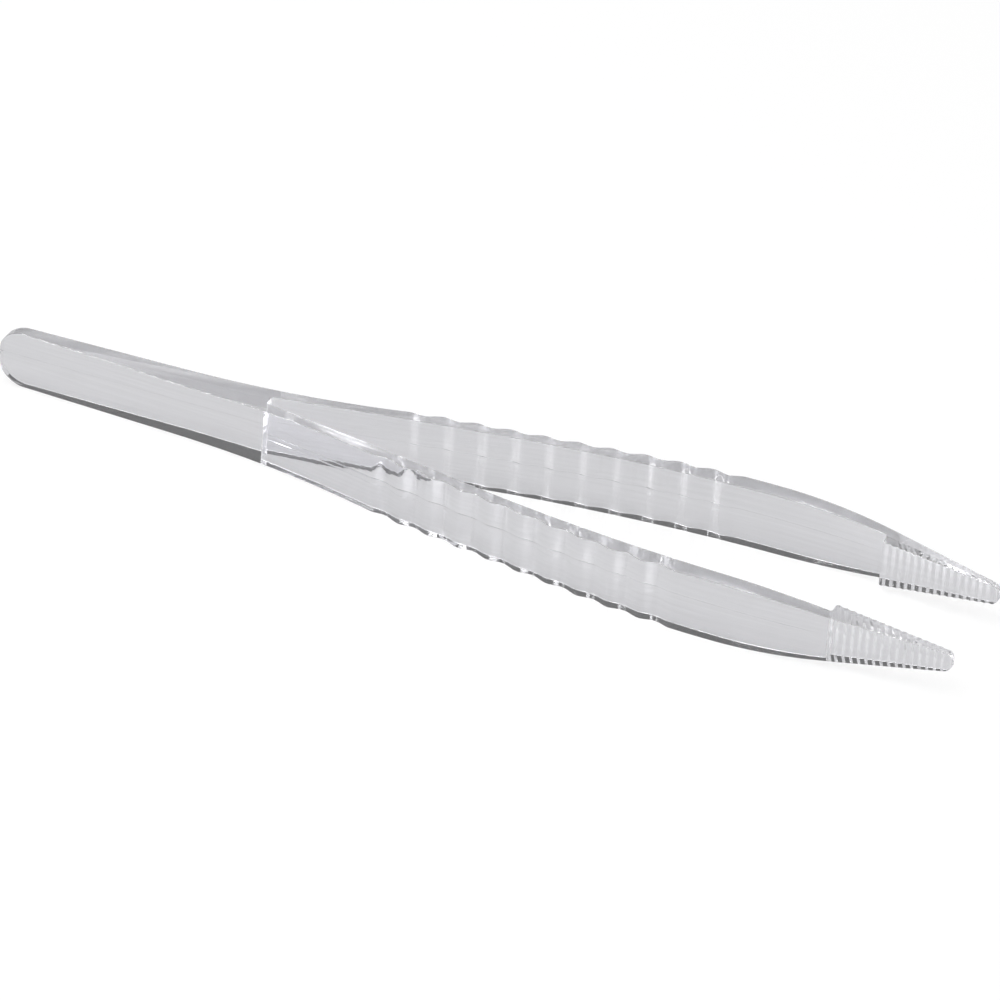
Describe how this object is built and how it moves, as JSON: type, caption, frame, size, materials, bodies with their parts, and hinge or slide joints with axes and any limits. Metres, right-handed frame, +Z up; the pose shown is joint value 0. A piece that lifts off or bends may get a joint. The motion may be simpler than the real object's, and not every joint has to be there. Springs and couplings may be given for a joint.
{
  "type": "disposable plastic tweezers",
  "caption": "Clear one-piece plastic tweezers with a tapered handle, bowed springy arms, wavy finger grips and serrated pads at narrow rounded tips.",
  "frame": {"origin": "middle of the bounding box on the plane the lower edges rest on", "axes": "+X from the heel to the tips, +Y across the two arms, +Z up across the blades"},
  "size_m": [0.127, 0.0232, 0.0081],
  "materials": {
    "clear_plastic": "clear, polished"
  },
  "bodies": {
    "root": {"tweezers_body": "clear_plastic"}
  },
  "joints": []
}
